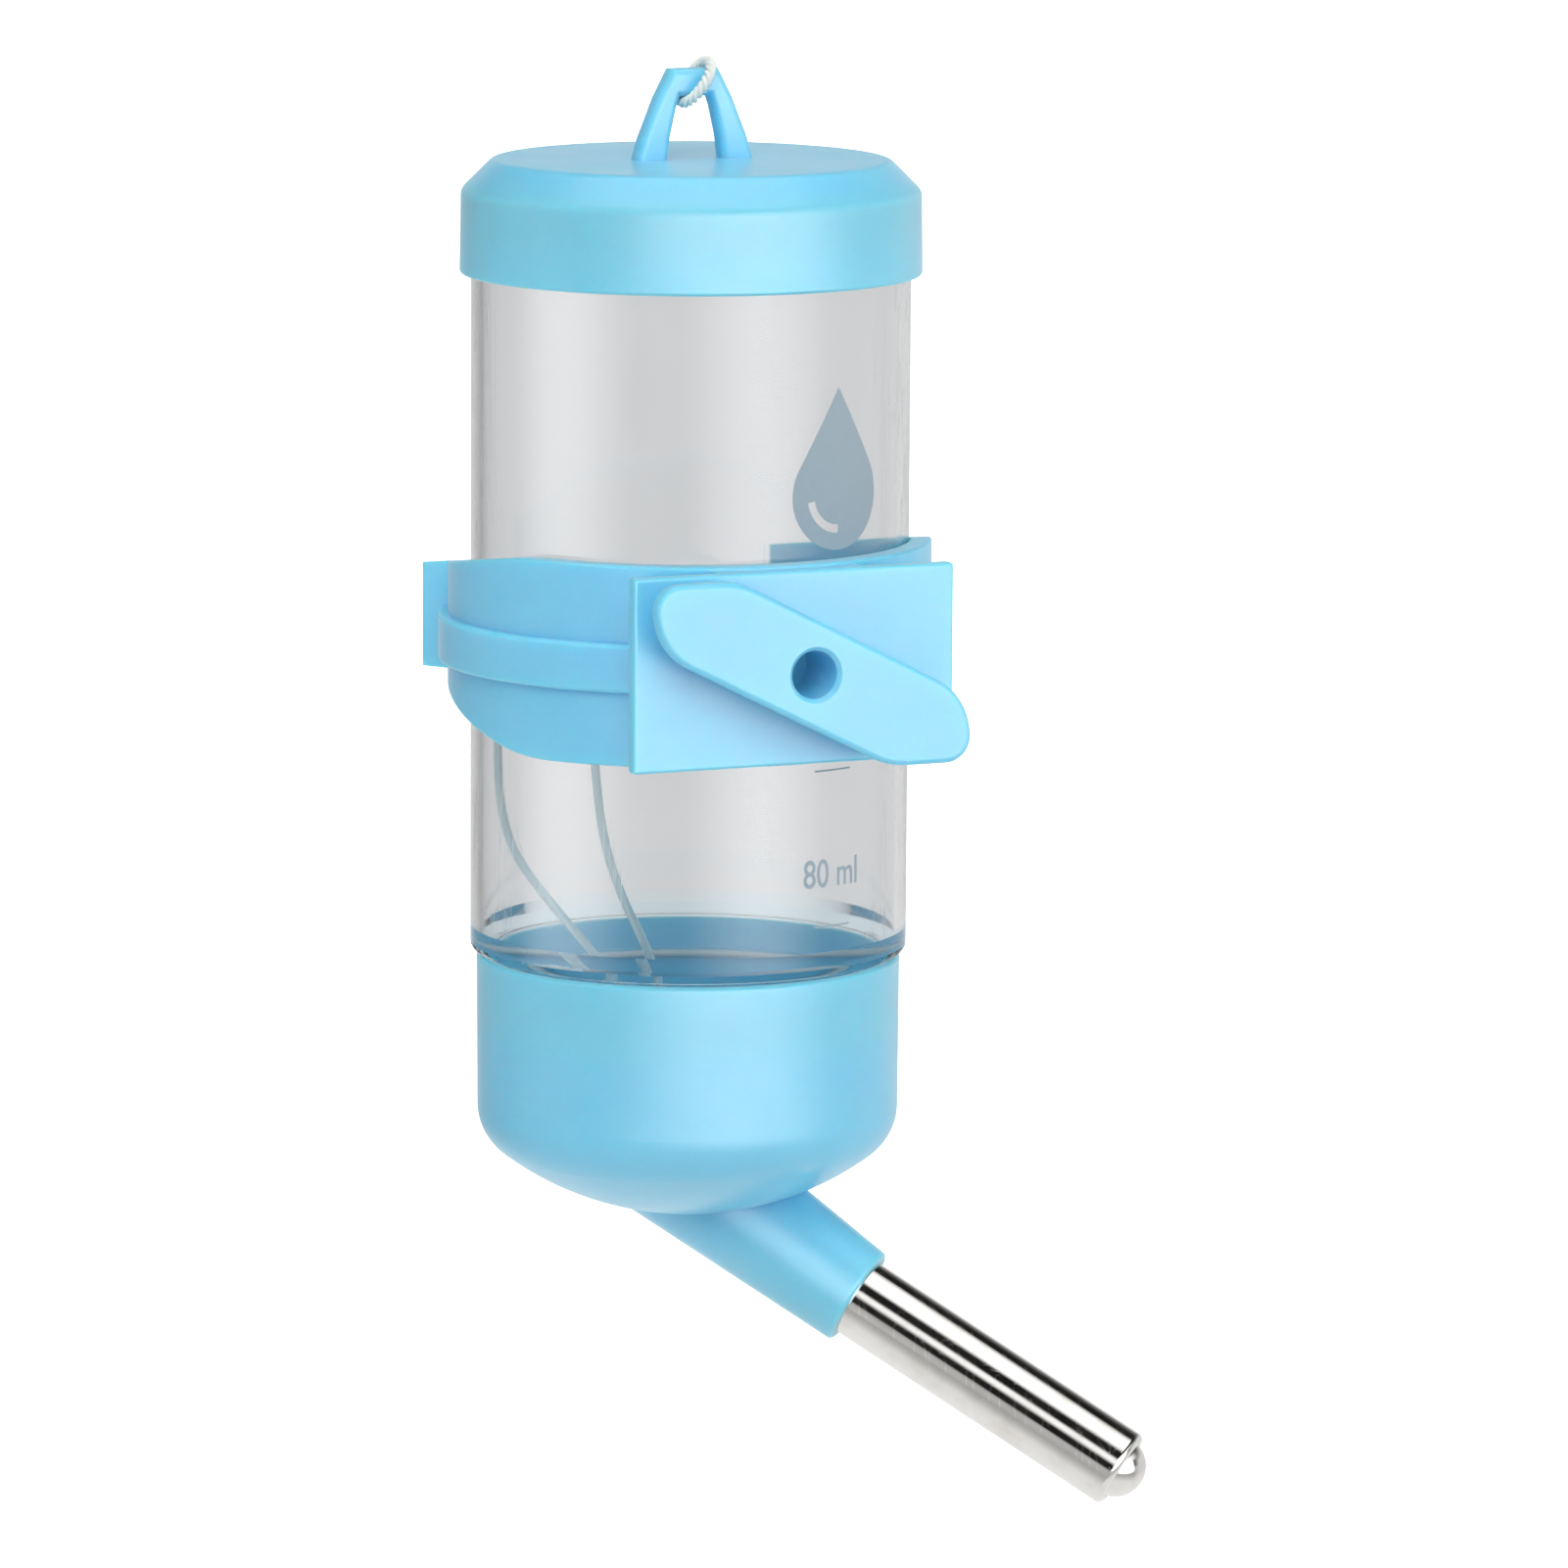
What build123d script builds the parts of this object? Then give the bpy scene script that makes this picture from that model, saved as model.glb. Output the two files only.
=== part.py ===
"""Hanging rabbit water bottle: a clear tube with a push-on lid and base cup, a steel ball
nozzle, and a snap clip with a turn bar that locks it to cage wires.

Frame: millimetres, +Z up. The origin is the centre of the clip plate's front face, which
rests against the cage wires and faces -Y. The bottle's axis is vertical, behind the plate.
"""
from build123d import *
from math import asin, cos, radians, sin, sqrt, tan
import os

# ---- driving dimensions -------------------------------------------------------------
TUBE_R = 27.0            # clear tube, outside
TUBE_WALL = 1.4
TUBE_LENGTH = 92.5       # from the shoulder to the upper rim
TUBE_RIM = 0.4           # chamfer on the upper rim
SHOULDER_R = 1.2         # rounding of the shoulder
SHOULDER_LOW = -0.1      # lowest ring of the shoulder
NECK_R = 24.8            # neck under the shoulder, which enters the base cup
NECK_WALL = 1.3
NECK_DEPTH = 8.5
GROOVE_DEPTH = 0.7       # groove for the seal, round the neck
GROOVE_TOP = -4.3
GROOVE_LOW = -5.7
SEAL_SECTION_R = 0.42
PART_GAP = 0.3           # clearance between parts that slide over each other
THIN_GAP = 0.05          # clearance between parts of one body

BOTTLE_BEHIND = 32.0     # bottle axis behind the clip plate's front face
SHOULDER_Z = -39.3       # height of the tube's shoulder in the row's frame

LID_R = 28.25
LID_FLARE = 0.15         # how much wider the skirt's lower edge is
LID_SKIRT_Z = 84.0       # heights from here down to the eye are above the shoulder
LID_TOP_Z = 98.0
LID_BEVEL = 3.8
LID_EDGE_R = 1.5
LID_LAND_Z = 94.0
LID_ROOF = 1.6
PLUG_WALL = 1.2          # ring under the lid that enters the tube
PLUG_LOW_Z = 88.0
EYE_TOP_Z = 109.1
EYE_WAIST_Z = 100.6
EYE_DEPTH = 3.0
EYE_EDGE_R = 0.9
HANG_CORD_D = 1.4
HANG_LOOP_R = 2.95
HANG_LEAN = 32.6         # degrees that the loop leans off upright

CUP_R = 26.2
CUP_RIM_Z = -0.5
CUP_RIM_R = 0.5
CUP_WALL = 1.7
CUP_DRAFT = 0.1          # how much narrower the cup is where its side meets the floor
DOME_R = 38.5
DOME_CENTRE_Z = 5.5
DOME_CORNER_R = 7.0

NOZZLE_AZIMUTH = -40.0   # degrees from +X, in plan
NOZZLE_DROP = 30.0       # degrees below the horizontal
NOZZLE_ROOT_Z = -30.05   # where the nozzle's axis crosses the bottle's axis
NOZZLE_R = 5.0
NOZZLE_WALL = 0.5
NOZZLE_START = 10.0      # distances along the nozzle's axis, from that crossing
SOCKET_END = 25.75
NOZZLE_END = 65.0
SOCKET_R = 6.2
SOCKET_TAPER = 3.25      # degrees
SOCKET_EDGE_R = 0.6
SOCKET_ROOT = 40.0       # length of the socket's cone, most of it inside the cup
BALL_R = 3.9
BALL_SINK = 1.2          # ball centre behind the rim
BALL_SPACING = 7.9

PLATE_W = 42.0
PLATE_H = 23.6
PLATE_T = 1.6
RING_IN_R = TUBE_R + PART_GAP
RING_OUT_R = 29.8
RING_H = 24.4
MOUTH_HALF_ANGLE = 49.0  # half of the ring's opening, at the back
ARM_END_HIGH = (66, 5.75)   # (depth, height) that the arms' upper edge runs down to
ARM_END_LOW = (66, -4.9)
ARM_LOW_BEND = (41, -6.7)
ARM_CURVE = 30.0
RIB_R = 31.0
RIB_LOW = -3.1
RIB_HIGH = 2.8
LIP_R = 35.0
LIP_T = 1.8
PLATE_EDGE_R = 0.4
ARM_EDGE_R = 0.35
RIB_EDGE_R = 0.5
LIP_EDGE_R = 0.6
SEAT_W = 19.0            # block between the plate and the ring, which holds the turn bar's boss
SEAT_DEPTH = 6.0
WEB_HALF_W = 17.0

BAR_T = 2.0
BAR_GAP = 4.3            # room for a cage wire between the bar and the plate
BAR_HALF_W = 20.85
BAR_HALF_H = 11.7
BAR_SLOPE = 26.7         # degrees
BAR_WAIST = 6.7          # half height of the bar's slanted body, measured on its centre line
BAR_END_LEAN = 0.55      # how far the ends lean in towards the slant
BAR_CORNERS_R = [8.0, 3.2, 10.0]
BAR_FRONT_R = 0.7
BAR_BACK_R = 0.3
BOSS_R = 5.0
BOSS_FIT = 0.05
BOSS_BACK = 4.3
BOSS_HOLE_R = 2.95
BOSS_HOLE_BACK = 3.2
BOSS_CHAMFER = 0.5
SNAP_R = 5.4             # bead behind the plate that keeps the boss in
SNAP_LENGTH = 1.1
SNAP_ROOM = 0.35

CORD_D = 1.1
# The cord inside the bottle, about the bottle's axis and the shoulder, from one end to the other.
INNER_CORD = [
    (3.6, 0.6, -16.5),
    (-0.9, -0.7, -11.2),
    (-3.7, -1.1, -5.4),
    (-6.7, -1.4, 1.9),
    (-9.5, -1.2, 7.2),
    (-11.9, -1.3, 14.2),
    (-12.7, -0.6, 22.0),
    (-12.8, 0.3, 29.4),
    (-13.5, 1.7, 35.1),
    (-15.5, 4.6, 38.9),
    (-18.3, 8.3, 39.2),
    (-20.2, 10.8, 35.6),
    (-20.9, 11.7, 30.4),
    (-21.0, 11.8, 24.0),
    (-20.8, 11.3, 17.4),
    (-19.2, 10.7, 11.4),
    (-15.2, 8.9, 5.6),
    (-11.2, 6.6, 0.3),
    (-7.6, 3.9, -4.6),
    (-3.7, 2.7, -10.0),
    (-0.2, 4.5, -15.5),
]

FAR = 60.0               # beyond every part, for cutting blocks
BOTTLE = Pos(0, BOTTLE_BEHIND, SHOULDER_Z)


# ---- helpers ------------------------------------------------------------------------
def turned(*curves):
    """A solid of revolution about Z from curves drawn as (radius, height)."""
    edges = [edge for curve in curves for edge in curve.edges()]
    return revolve(Plane.XZ * make_face(edges), Axis.Z)


def box_between(low, high):
    """An axis-aligned block from its two corners."""
    size = [b - a for a, b in zip(low, high)]
    centre = [(a + b) / 2 for a, b in zip(low, high)]
    return Pos(*centre) * Box(*size)


def disc(radius, low, high):
    """An upright cylinder between two heights."""
    return Pos(0, 0, (low + high) / 2) * Cylinder(radius, high - low)


def rod_y(radius, front, back):
    """A cylinder along Y between two depths."""
    return Pos(0, (front + back) / 2, 0) * Rot(90, 0, 0) * Cylinder(radius, back - front)


def cone_y(front, length, front_r, back_r):
    """A cone along Y, from its front face backwards."""
    base = (Align.CENTER, Align.CENTER, Align.MIN)
    return Pos(0, front, 0) * Rot(-90, 0, 0) * Cone(front_r, back_r, length, align=base)


def circles_at(part, height, least_r):
    """The part's level circular edges at a height, of at least a radius."""
    edges = part.edges().filter_by(GeomType.CIRCLE)
    return [e for e in edges if abs(e.center().Z - height) < 0.01 and e.radius > least_r]


def quarter(centre, radius, start_angle):
    """A quarter circle, counter-clockwise from an angle."""
    points = []
    for step in range(3):
        angle = radians(start_angle + 45 * step)
        points.append((centre[0] + radius * cos(angle), centre[1] + radius * sin(angle)))
    return ThreePointArc(*points)


def cord_tube(points, diameter):
    """A cord's solid: straight runs joined by arcs as large as the runs allow."""
    spots = [Vector(*p) for p in points]
    radii = []
    for before, corner, after in zip(spots, spots[1:], spots[2:]):
        turn = radians((corner - before).get_angle(after - corner))
        run = min((corner - before).length, (after - corner).length)
        radii.append(0.45 * run / tan(turn / 2))
    path = FilletPolyline(*spots, radius=radii)
    section = Plane(origin=path @ 0, z_dir=path % 0) * Circle(diameter / 2)
    tube = sweep(section, path=path)
    print("cord radii", [round(r, 1) for r in radii], "length", round(path.length, 1))
    print("cord volume / (section x length)", round(tube.volume / (section.area * path.length), 4))
    return tube


def nozzle_at(distance):
    """The place on the nozzle's axis at a distance from the bottle's axis, with its own
    Z pointing outwards along the nozzle and its own X upwards."""
    plan = radians(NOZZLE_AZIMUTH)
    drop = radians(NOZZLE_DROP)
    out = Vector(cos(drop) * cos(plan), cos(drop) * sin(plan), -sin(drop))
    up = Vector(sin(drop) * cos(plan), sin(drop) * sin(plan), cos(drop))
    origin = Vector(0, 0, NOZZLE_ROOT_Z) + out * distance
    return Plane(origin=origin, x_dir=up, z_dir=out).location


# ---- bottle tube --------------------------------------------------------------------
def make_tube():
    """Clear tube: open at the top, with a rounded shoulder and a grooved neck below."""
    inner = TUBE_R - TUBE_WALL
    neck_in = NECK_R - NECK_WALL
    groove_r = NECK_R - GROOVE_DEPTH
    shoulder_top = SHOULDER_LOW + SHOULDER_R
    profile = Polyline(
        (TUBE_R, shoulder_top),
        (TUBE_R, TUBE_LENGTH - TUBE_RIM),
        (TUBE_R - TUBE_RIM, TUBE_LENGTH),
        (inner + TUBE_RIM, TUBE_LENGTH),
        (inner, TUBE_LENGTH - TUBE_RIM),
        (inner, shoulder_top + 1.9),
        (neck_in, shoulder_top - 0.1),
        (neck_in, -NECK_DEPTH),
        (NECK_R, -NECK_DEPTH),
        (NECK_R, GROOVE_LOW),
        (groove_r, GROOVE_LOW),
        (groove_r, GROOVE_TOP),
        (NECK_R, GROOVE_TOP),
        (NECK_R, SHOULDER_LOW),
        (TUBE_R - SHOULDER_R, SHOULDER_LOW),
    )
    return turned(profile, quarter((TUBE_R - SHOULDER_R, shoulder_top), SHOULDER_R, -90))


def make_neck_seal():
    """Silicone ring in the neck's groove, which grips and seals the base cup."""
    middle_r = NECK_R - GROOVE_DEPTH + SEAL_SECTION_R + THIN_GAP
    return Pos(0, 0, (GROOVE_TOP + GROOVE_LOW) / 2) * Torus(middle_r, SEAL_SECTION_R)


# ---- base cup -----------------------------------------------------------------------
def dome_outline(wall, top_r, top_z):
    """Curves from the axis out along the dome, round its corner and up the side."""
    corner_r = DOME_CORNER_R - wall
    sphere_r = DOME_R - wall
    side_r = CUP_R - CUP_DRAFT - wall
    centre_r = side_r - corner_r
    centre_z = DOME_CENTRE_Z - sqrt((sphere_r - corner_r) ** 2 - centre_r**2)
    lean = asin(centre_r / (sphere_r - corner_r))
    touch = (sphere_r * sin(lean), DOME_CENTRE_Z - sphere_r * cos(lean))
    on_dome = (sphere_r * sin(lean / 2), DOME_CENTRE_Z - sphere_r * cos(lean / 2))
    half = (lean + radians(90)) / 2
    on_corner = (centre_r + corner_r * sin(half), centre_z - corner_r * cos(half))
    dome = ThreePointArc((0, DOME_CENTRE_Z - sphere_r), on_dome, touch)
    corner = ThreePointArc(touch, on_corner, (side_r, centre_z))
    side = Line((side_r, centre_z), (top_r, top_z))
    return [dome, corner, side]


def make_socket():
    """Tapered socket for the nozzle, cut off level where it enters the cup's side."""
    end_r = SOCKET_R / cos(radians(SOCKET_TAPER))
    root_r = end_r + SOCKET_ROOT * tan(radians(SOCKET_TAPER))
    middle = Pos(0, 0, 1 - SOCKET_ROOT / 2)
    cone = nozzle_at(SOCKET_END) * Rot(0, -SOCKET_TAPER, 0) * middle * Cone(root_r, end_r, SOCKET_ROOT)
    reach = nozzle_at(SOCKET_END - SOCKET_ROOT / 2) * Box(FAR, FAR, SOCKET_ROOT)
    below_rim = box_between((-FAR, -FAR, -2 * FAR), (FAR, FAR, CUP_RIM_Z - 12))
    return cone & reach & below_rim


def make_base_cup():
    """Blue cup: a round shell with a domed floor and the nozzle's socket, in one piece."""
    bore = NECK_R + PART_GAP
    inner_r = CUP_R - CUP_WALL - CUP_DRAFT
    seat_z = -NECK_DEPTH - 0.6
    above = CUP_RIM_Z + 2
    rim_low = CUP_RIM_Z - CUP_RIM_R
    outside = turned(
        *dome_outline(0, CUP_R, rim_low),
        quarter((CUP_R - CUP_RIM_R, rim_low), CUP_RIM_R, 0),
        Polyline((CUP_R - CUP_RIM_R, CUP_RIM_Z), (0, CUP_RIM_Z), (0, DOME_CENTRE_Z - DOME_R)),
    )
    inside = turned(
        *dome_outline(CUP_WALL, inner_r, seat_z),
        Polyline(
            (inner_r, seat_z),
            (bore, seat_z),
            (bore, above),
            (0, above),
            (0, DOME_CENTRE_Z - DOME_R + CUP_WALL),
        ),
    )
    cup = outside + make_socket() - inside
    bore_length = SOCKET_END - NOZZLE_START
    cup -= nozzle_at(NOZZLE_START + bore_length / 2) * Cylinder(NOZZLE_R, bore_length + 0.01)
    rim = nozzle_at(SOCKET_END).position
    ellipses = cup.edges().filter_by(GeomType.ELLIPSE)
    rim_edge = [e for e in ellipses if (e.arc_center - rim).length < 1]
    return fillet(rim_edge, SOCKET_EDGE_R)


# ---- nozzle -------------------------------------------------------------------------
def make_nozzle_tube():
    """Steel tube with its outer rim turned in, so that it holds the ball."""
    length = NOZZLE_END - NOZZLE_START
    inner = NOZZLE_R - NOZZLE_WALL
    mouth = BALL_R - 0.05
    rim_r = NOZZLE_R - 0.8
    tube = turned(
        Polyline(
            (NOZZLE_R, length - 1.0),
            (NOZZLE_R, 0),
            (inner, 0),
            (inner, length - 1.8),
            (mouth, length - 0.1),
            (mouth + 0.1, length),
            (rim_r, length),
        ),
        ThreePointArc((rim_r, length), (NOZZLE_R - 0.22, length - 0.3), (NOZZLE_R, length - 1.0)),
    )
    return nozzle_at(NOZZLE_START) * tube


def make_ball(place):
    """A steel ball; place 0 is the one that closes the mouth, 1 the one behind it."""
    return nozzle_at(NOZZLE_END - BALL_SINK - place * BALL_SPACING) * Sphere(BALL_R)


# ---- lid ----------------------------------------------------------------------------
def make_lid():
    """Blue cap with a bevelled shoulder, an inner plug ring and the hanging eye."""
    skirt_in = TUBE_R + PART_GAP
    plug_out = TUBE_R - TUBE_WALL - 0.4
    plug_in = plug_out - PLUG_WALL
    ceiling = LID_TOP_Z - LID_ROOF
    shell = turned(
        Polyline(
            (0, LID_TOP_Z),
            (LID_R - LID_BEVEL, LID_TOP_Z),
            (LID_R, LID_TOP_Z - LID_BEVEL),
            (LID_R + LID_FLARE, LID_SKIRT_Z),
            (skirt_in, LID_SKIRT_Z),
            (skirt_in, LID_LAND_Z),
            (plug_out, LID_LAND_Z),
            (plug_out, PLUG_LOW_Z),
            (plug_in, PLUG_LOW_Z),
            (plug_in, ceiling),
            (0, ceiling),
            (0, LID_TOP_Z),
        )
    )
    upper = circles_at(shell, LID_TOP_Z, 1) + circles_at(shell, LID_TOP_Z - LID_BEVEL, LID_R - 0.1)
    shell = fillet(upper, LID_EDGE_R)
    shell = fillet(circles_at(shell, LID_SKIRT_Z, LID_R), 0.4)
    return shell + make_eye()


def make_eye():
    """Hanging eye: a flat-topped arch across X, moulded on the lid's top."""
    foot_z = LID_TOP_Z - 0.5
    outer = [(7.9, foot_z), (7.0, EYE_WAIST_Z), (4.95, 105.6), (3.1, EYE_TOP_Z)]
    inner = [(3.7, foot_z), (3.3, EYE_WAIST_Z), (2.45, 104.4), (2.0, 105.7)]
    faces = []
    for right in (outer, inner):
        left = [(-x, z) for x, z in reversed(right)]
        faces.append(make_face(Polyline(*right, *left, close=True).edges()))
    arch = extrude(Plane.XZ * (faces[0] - faces[1]), EYE_DEPTH / 2, both=True)
    free_edges = [
        e for e in arch.edges()
        if abs(abs(e.center().Y) - EYE_DEPTH / 2) < 0.01 and e.center().Z > foot_z + 0.3
    ]
    return fillet(free_edges, EYE_EDGE_R)


def make_lid_gasket():
    """Flat silicone ring between the tube's rim and the lid."""
    low = TUBE_LENGTH + THIN_GAP
    hole = disc(TUBE_R - TUBE_WALL - PART_GAP, low - 1, LID_LAND_Z + 1)
    return disc(TUBE_R + 0.1, low, LID_LAND_Z) - hole


def make_hang_cord():
    """Small closed loop of cord round the eye's top bar."""
    place = Pos(0.45, 0, 107.4) * Rot(0, HANG_LEAN, 0) * Rot(0, 90, 0)
    return place * Torus(HANG_LOOP_R, HANG_CORD_D / 2)


# ---- clip ---------------------------------------------------------------------------
def make_mouth():
    """Wedge that opens the clip's ring at the back."""
    across = FAR * sin(radians(MOUTH_HALF_ANGLE))
    back = FAR * cos(radians(MOUTH_HALF_ANGLE))
    wedge = Polyline((0, 0), (-across, back), (0, 1.5 * FAR), (across, back), close=True)
    return extrude(make_face(wedge.edges()), RING_H, both=True)


def is_long_arm_edge(edge):
    """True for the arms' long upper and lower edges on the outer side."""
    radii = []
    for share in (0.1, 0.5, 0.9):
        spot = edge.position_at(share)
        radii.append(sqrt(spot.X ** 2 + (spot.Y - BOTTLE_BEHIND) ** 2))
    return edge.length > 8 and min(radii) > RING_OUT_R - 0.05 and max(radii) < RING_OUT_R + 0.05


def make_arms():
    """The ring's two arms, with lips at the mouth; seen from the side, they narrow backwards."""
    high = RING_H / 2
    arms = disc(RING_OUT_R, -high, high) - make_mouth()
    for side in (-1, 1):
        near = 0 if side < 0 else -LIP_T
        lip = box_between((RING_IN_R + 0.4, near, -high), (LIP_R, near + LIP_T, high))
        lip = fillet(lip.edges().filter_by(Axis.Z).group_by(Axis.X)[-1], LIP_EDGE_R)
        arms += Rot(0, 0, 90 + side * MOUTH_HALF_ANGLE) * lip
    upper = FilletPolyline((-5, high), (20.5, high), ARM_END_HIGH, radius=ARM_CURVE)
    lower = FilletPolyline(ARM_END_LOW, ARM_LOW_BEND, (20, -high), (-5, -high), radius=ARM_CURVE)
    ends = [Line(upper @ 1, lower @ 0), Line(lower @ 1, upper @ 0)]
    outline = make_face([*upper.edges(), *lower.edges(), *ends])
    arms = Pos(0, BOTTLE_BEHIND, 0) * arms & extrude(Plane.YZ * outline, FAR, both=True)
    long_edges = [e for e in arms.edges() if is_long_arm_edge(e)]
    return fillet(long_edges, ARM_EDGE_R)


def make_clip():
    """Blue snap clip: a flat plate for the cage side and a C-shaped ring for the bottle."""
    behind = Pos(0, BOTTLE_BEHIND, 0)
    half_w = PLATE_W / 2
    half_h = PLATE_H / 2
    hoop = disc(RIB_R, RIB_LOW, RIB_HIGH)
    rib = behind * (fillet(hoop.edges().filter_by(GeomType.CIRCLE), RIB_EDGE_R) - make_mouth())
    plate = box_between((-half_w, 0, -half_h), (half_w, PLATE_T, half_h))
    plate = fillet(plate.edges().filter_by(Axis.Y) + plate.faces().sort_by(Axis.Y)[0].edges(), PLATE_EDGE_R)
    seat = box_between((-SEAT_W / 2, 0.5, -half_h), (SEAT_W / 2, SEAT_DEPTH, half_h))
    web = box_between((-WEB_HALF_W, 0.5, RIB_LOW), (WEB_HALF_W, 2 * SEAT_DEPTH, RIB_HIGH))
    clip = plate + seat + web + rib + make_arms()
    clip -= behind * disc(RING_IN_R, -RING_H, RING_H)
    clip -= rod_y(BOSS_R + BOSS_FIT, -1, SEAT_DEPTH + 2)
    return clip - rod_y(SNAP_R + SNAP_ROOM, BOSS_HOLE_BACK - 0.2, SEAT_DEPTH + 2)


# ---- turn bar -----------------------------------------------------------------------
def make_turn_bar():
    """Bar that locks behind the cage wires, with a hollow boss that snaps into the plate."""
    slope = tan(radians(BAR_SLOPE))
    lean_w = BAR_HALF_W - BAR_END_LEAN
    corners = [
        (-lean_w, slope * lean_w - BAR_WAIST),
        (-BAR_HALF_W, BAR_HALF_H),
        ((BAR_WAIST - BAR_HALF_H) / slope, BAR_HALF_H),
    ]
    corners += [(-x, -z) for x, z in corners]
    outline = FilletPolyline(*corners, radius=2 * BAR_CORNERS_R, close=True)
    front = -BAR_GAP - BAR_T
    bar = Pos(0, -BAR_GAP, 0) * extrude(Plane.XZ * make_face(outline.edges()), BAR_T)
    bar = fillet(bar.faces().sort_by(Axis.Y)[0].edges(), BAR_FRONT_R)
    bar = fillet(bar.faces().sort_by(Axis.Y)[-1].edges(), BAR_BACK_R)
    bar += rod_y(BOSS_R, -BAR_GAP - 0.5, BOSS_BACK)
    bar += cone_y(BOSS_HOLE_BACK, SNAP_LENGTH, SNAP_R, BOSS_R - PART_GAP)
    bar -= rod_y(BOSS_HOLE_R, front - 1, BOSS_HOLE_BACK)
    return bar - cone_y(front, BOSS_CHAMFER, BOSS_HOLE_R + BOSS_CHAMFER, BOSS_HOLE_R)


# ---- write the nodes ----------------------------------------------------------------
def main():
    """Build every node and write one STEP file for each."""
    parts = {
        "clip": make_clip(),
        "turn_bar": make_turn_bar(),
        "bottle_tube": BOTTLE * make_tube(),
        "neck_seal": BOTTLE * make_neck_seal(),
        "inner_cord": BOTTLE * cord_tube(INNER_CORD, CORD_D),
        "base_cup": BOTTLE * make_base_cup(),
        "nozzle_tube": BOTTLE * make_nozzle_tube(),
        "tip_ball": BOTTLE * make_ball(0),
        "inner_ball": BOTTLE * make_ball(1),
        "lid": BOTTLE * make_lid(),
        "lid_gasket": BOTTLE * make_lid_gasket(),
        "hang_cord": BOTTLE * make_hang_cord(),
    }
    os.makedirs("parts", exist_ok=True)
    for node, part in parts.items():
        part.label = node
        export_step(part, f"parts/{node}.step")


main()
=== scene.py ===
"""Looks of a hanging rabbit water bottle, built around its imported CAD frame.

Everything is in metres in the row frame: +Z up, -Y towards the cage, and the origin at the
centre of the clip plate's front face. Lengths of the object are given in millimetres and
scaled by MM.
"""
import math

import bmesh
import bpy
from mathutils import Matrix, Vector


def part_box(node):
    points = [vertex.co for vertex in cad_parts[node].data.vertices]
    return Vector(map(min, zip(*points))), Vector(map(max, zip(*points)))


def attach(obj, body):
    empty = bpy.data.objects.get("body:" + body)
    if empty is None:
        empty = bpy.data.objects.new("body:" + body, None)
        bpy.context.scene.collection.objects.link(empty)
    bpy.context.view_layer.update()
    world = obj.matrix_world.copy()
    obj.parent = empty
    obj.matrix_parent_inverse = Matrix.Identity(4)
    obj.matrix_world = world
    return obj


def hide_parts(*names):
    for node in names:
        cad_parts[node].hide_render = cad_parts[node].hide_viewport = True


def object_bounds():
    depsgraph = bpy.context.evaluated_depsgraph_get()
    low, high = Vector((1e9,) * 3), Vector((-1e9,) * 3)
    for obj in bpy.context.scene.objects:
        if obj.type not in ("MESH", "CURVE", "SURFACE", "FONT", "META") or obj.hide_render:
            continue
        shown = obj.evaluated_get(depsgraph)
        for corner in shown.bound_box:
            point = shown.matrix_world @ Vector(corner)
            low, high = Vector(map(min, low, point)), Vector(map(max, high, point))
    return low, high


MM = 0.001
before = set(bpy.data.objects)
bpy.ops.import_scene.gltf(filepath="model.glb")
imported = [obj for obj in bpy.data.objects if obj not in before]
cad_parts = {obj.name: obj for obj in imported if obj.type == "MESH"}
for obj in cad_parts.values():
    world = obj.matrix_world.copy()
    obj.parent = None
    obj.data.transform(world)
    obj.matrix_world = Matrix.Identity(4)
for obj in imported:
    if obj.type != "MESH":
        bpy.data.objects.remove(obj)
cad_low, cad_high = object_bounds()
tube_low, tube_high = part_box("bottle_tube")
AXIS = Vector(((tube_low.x + tube_high.x) / 2, (tube_low.y + tube_high.y) / 2, 0))
TUBE_R = (tube_high.x - tube_low.x) / 2
SHOULDER_Z = -39.3 * MM      # the CAD's datum for everything on the bottle

# ---- camera ---------------------------------------------------------------------------
CAMERA_AT = Vector((-457.0, -1023.4, 164.2)) * MM
CAMERA_YAW = math.radians(24.0)
CAMERA_DOWN = math.radians(9.039)
CAMERA_ROLL = math.radians(0.353)
CAMERA_LENS = 216.2
VIEW_AZIMUTH = -114.0        # plan angle, in degrees, of the side of the bottle that faces the camera


def make_camera():
    """The camera at the picture's viewing angle."""
    data = bpy.data.cameras.new("camera")
    data.lens = CAMERA_LENS
    data.sensor_width = 36.0
    data.clip_start = 0.05
    data.clip_end = 60.0
    camera = bpy.data.objects.new("camera", data)
    bpy.context.scene.collection.objects.link(camera)
    level = math.cos(CAMERA_DOWN)
    forward = Vector((math.sin(CAMERA_YAW) * level, math.cos(CAMERA_YAW) * level, -math.sin(CAMERA_DOWN)))
    right = Vector((math.cos(CAMERA_YAW), -math.sin(CAMERA_YAW), 0))
    up = right.cross(forward)
    rolled_right = math.cos(CAMERA_ROLL) * right + math.sin(CAMERA_ROLL) * up
    rolled_up = math.cos(CAMERA_ROLL) * up - math.sin(CAMERA_ROLL) * right
    turn = Matrix((rolled_right, rolled_up, -forward)).transposed().to_4x4()
    camera.matrix_world = Matrix.Translation(CAMERA_AT) @ turn
    bpy.context.scene.camera = camera


make_camera()


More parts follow.
